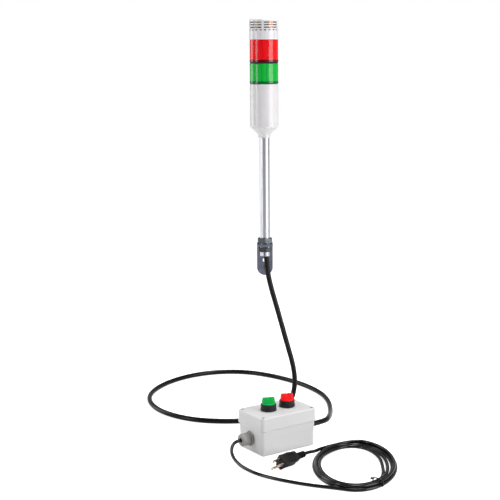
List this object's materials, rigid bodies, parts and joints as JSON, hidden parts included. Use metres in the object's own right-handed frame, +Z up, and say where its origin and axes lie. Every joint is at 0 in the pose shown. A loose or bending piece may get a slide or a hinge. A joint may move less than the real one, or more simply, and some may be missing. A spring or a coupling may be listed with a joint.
{
  "type": "stack light",
  "caption": "Two-colour stack light with a sounder cap on a pole and L bracket, wired to a box with two turn knobs and a coiled mains cord.",
  "frame": {"origin": "centre of the bracket's bolt hole on the wall side of the plate", "axes": "+Z up along the pole, +Y into the wall behind the bracket, +X to the right seen from the front"},
  "size_m": [0.497, 0.767, 0.8181],
  "materials": {
    "housing_grey": "smooth moulded light grey",
    "red_clear": "clear red, fluted inside",
    "green_clear": "clear green, fluted inside",
    "seal_black": "matt black",
    "lamp_white": "plain white",
    "lamp_yellow": "clear lamp face",
    "circuit_green": "coated board",
    "sounder_brass": "bright",
    "pole_aluminium": "satin anodised",
    "zinc_plate": "blue zinc plated",
    "nut_black": "black",
    "screw_brass": "dull",
    "box_grey": "fine moulded light grey",
    "switch_black": "black",
    "knob_green": "moulded green",
    "knob_red": "moulded red",
    "gland_grey": "moulded mid grey",
    "cord_black": "soft black jacket",
    "tie_black": "black",
    "pin_brass": "bright"
  },
  "bodies": {
    "frame": {"box_base": "box_grey", "box_lid": "box_grey", "bracket_screw": "screw_brass", "coil_tie": "tie_black", "control_board": "circuit_green", "cord_coil": "cord_black", "earth_pin": "pin_brass", "green_bezel": "switch_black", "green_contact_block": "switch_black", "green_gasket": "seal_black", "green_lamp_core": "lamp_white", "green_leds": "lamp_yellow", "green_lens": "green_clear", "green_locknut": "switch_black", "green_operator": "switch_black", "inner_lead": "cord_black", "l_bracket": "zinc_plate", "lamp_lead": "cord_black", "lead_gland_body": "gland_grey", "lead_gland_locknut": "gland_grey", "lead_gland_nut": "gland_grey", "lead_gland_seal": "seal_black", "lid_screws": "screw_brass", "lid_seal": "seal_black", "lower_seal": "seal_black", "mains_cord": "cord_black", "mains_gland_body": "gland_grey", "mains_gland_locknut": "gland_grey", "mains_gland_nut": "gland_grey", "mains_gland_seal": "seal_black", "middle_seal": "seal_black", "plug_blades": "pin_brass", "plug_body": "cord_black", "plug_lead": "cord_black", "pole": "pole_aluminium", "pole_lock_nut": "nut_black", "pole_nuts": "nut_black", "red_bezel": "switch_black", "red_contact_block": "switch_black", "red_gasket": "seal_black", "red_lamp_core": "lamp_white", "red_leds": "lamp_yellow", "red_lens": "red_clear", "red_locknut": "switch_black", "red_operator": "switch_black", "sound_cap": "housing_grey", "sounder": "sounder_brass", "sounder_board": "circuit_green", "sounder_coil": "sounder_brass", "terminal_strip": "lamp_white", "toothed_washers": "zinc_plate", "tower_base": "housing_grey", "tower_body": "housing_grey", "upper_seal": "seal_black"},
    "green_knob": {"green_knob": "knob_green"},
    "red_knob": {"red_knob": "knob_red"}
  },
  "joints": [
    {"name": "green_knob_turn", "type": "hinge", "parent": "frame", "child": "green_knob", "pos_m": [0.0031, -0.1869, -0.26], "axis": [0, 0, -1], "range_deg": [0, 90]},
    {"name": "red_knob_turn", "type": "hinge", "parent": "frame", "child": "red_knob", "pos_m": [0.0394, -0.16204, -0.26], "axis": [0, 0, -1], "range_deg": [0, 90]}
  ]
}
